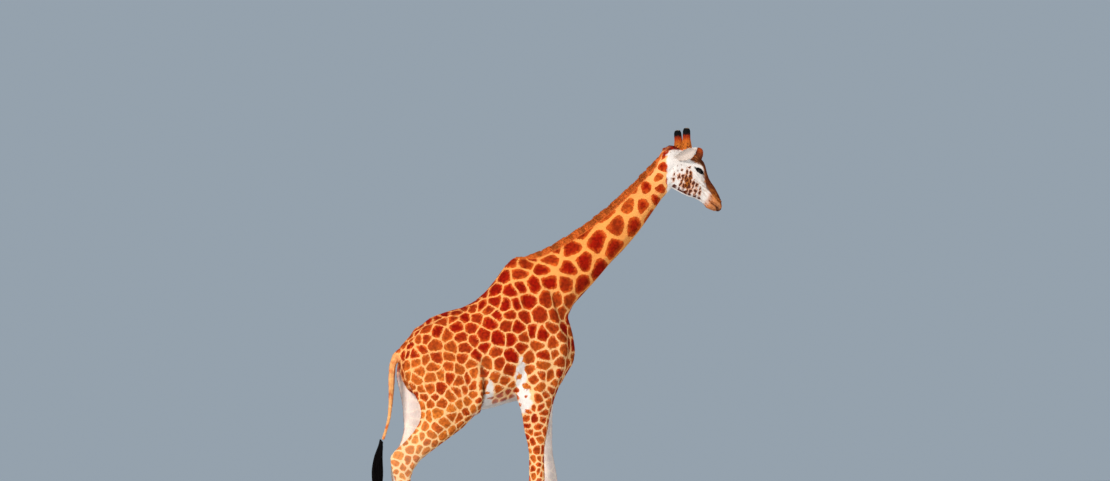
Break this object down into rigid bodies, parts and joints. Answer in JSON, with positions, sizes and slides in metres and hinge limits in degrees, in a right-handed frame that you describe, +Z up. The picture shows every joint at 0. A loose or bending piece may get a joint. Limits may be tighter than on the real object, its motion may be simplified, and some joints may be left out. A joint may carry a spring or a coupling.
{
  "type": "giraffe",
  "caption": "Life-size adult bull giraffe standing mid-stride with its neck reaching forward and its head turned a little to its left, netted red-brown coat.",
  "frame": {"origin": "on the floor, below the middle of the model's bounding box", "axes": "+X is the way the animal's body faces, +Y is its left side and +Z is up; the body's mid-plane is parallel to XZ"},
  "size_m": [3.3426, 0.6738, 4.1816],
  "materials": {
    "coat": "short glossy hair in red-brown patches parted by pale orange lines",
    "ear": "short off-white hair",
    "horn": "short red-brown hair, black ring and worn pale tip",
    "mane": "stiff upright red-brown hair with darker tips",
    "tail_tuft": "long coarse black hair",
    "hoof": "dull dark horn",
    "eye": "wet, very dark brown"
  },
  "bodies": {
    "root": {"foreleg_right_pastern": "coat", "foreleg_right_cannon": "coat", "foreleg_right_forearm": "coat", "foreleg_right_shoulder": "coat", "hoof_front_right_outer": "hoof", "hoof_front_right_inner": "hoof", "foreleg_left_pastern": "coat", "foreleg_left_cannon": "coat", "foreleg_left_forearm": "coat", "foreleg_left_shoulder": "coat", "hoof_front_left_outer": "hoof", "hoof_front_left_inner": "hoof", "hindleg_right_pastern": "coat", "hindleg_right_cannon": "coat", "hindleg_right_gaskin": "coat", "hindleg_right_thigh": "coat", "hoof_hind_right_outer": "hoof", "hoof_hind_right_inner": "hoof", "hindleg_left_pastern": "coat", "hindleg_left_cannon": "coat", "hindleg_left_gaskin": "coat", "hindleg_left_thigh": "coat", "hoof_hind_left_outer": "hoof", "hoof_hind_left_inner": "hoof", "trunk_rear": "coat", "trunk_front": "coat", "neck_lower": "coat", "neck_middle": "coat", "neck_upper": "coat", "head": "coat", "ossicone_left": "horn", "ossicone_right": "horn", "brow_horn": "horn", "ear_left": "ear", "eye_left": "eye", "ear_right": "ear", "eye_right": "eye", "tail_dock": "coat", "tail_tuft": "tail_tuft", "mane_lower": "mane", "mane_upper": "mane"}
  },
  "joints": []
}
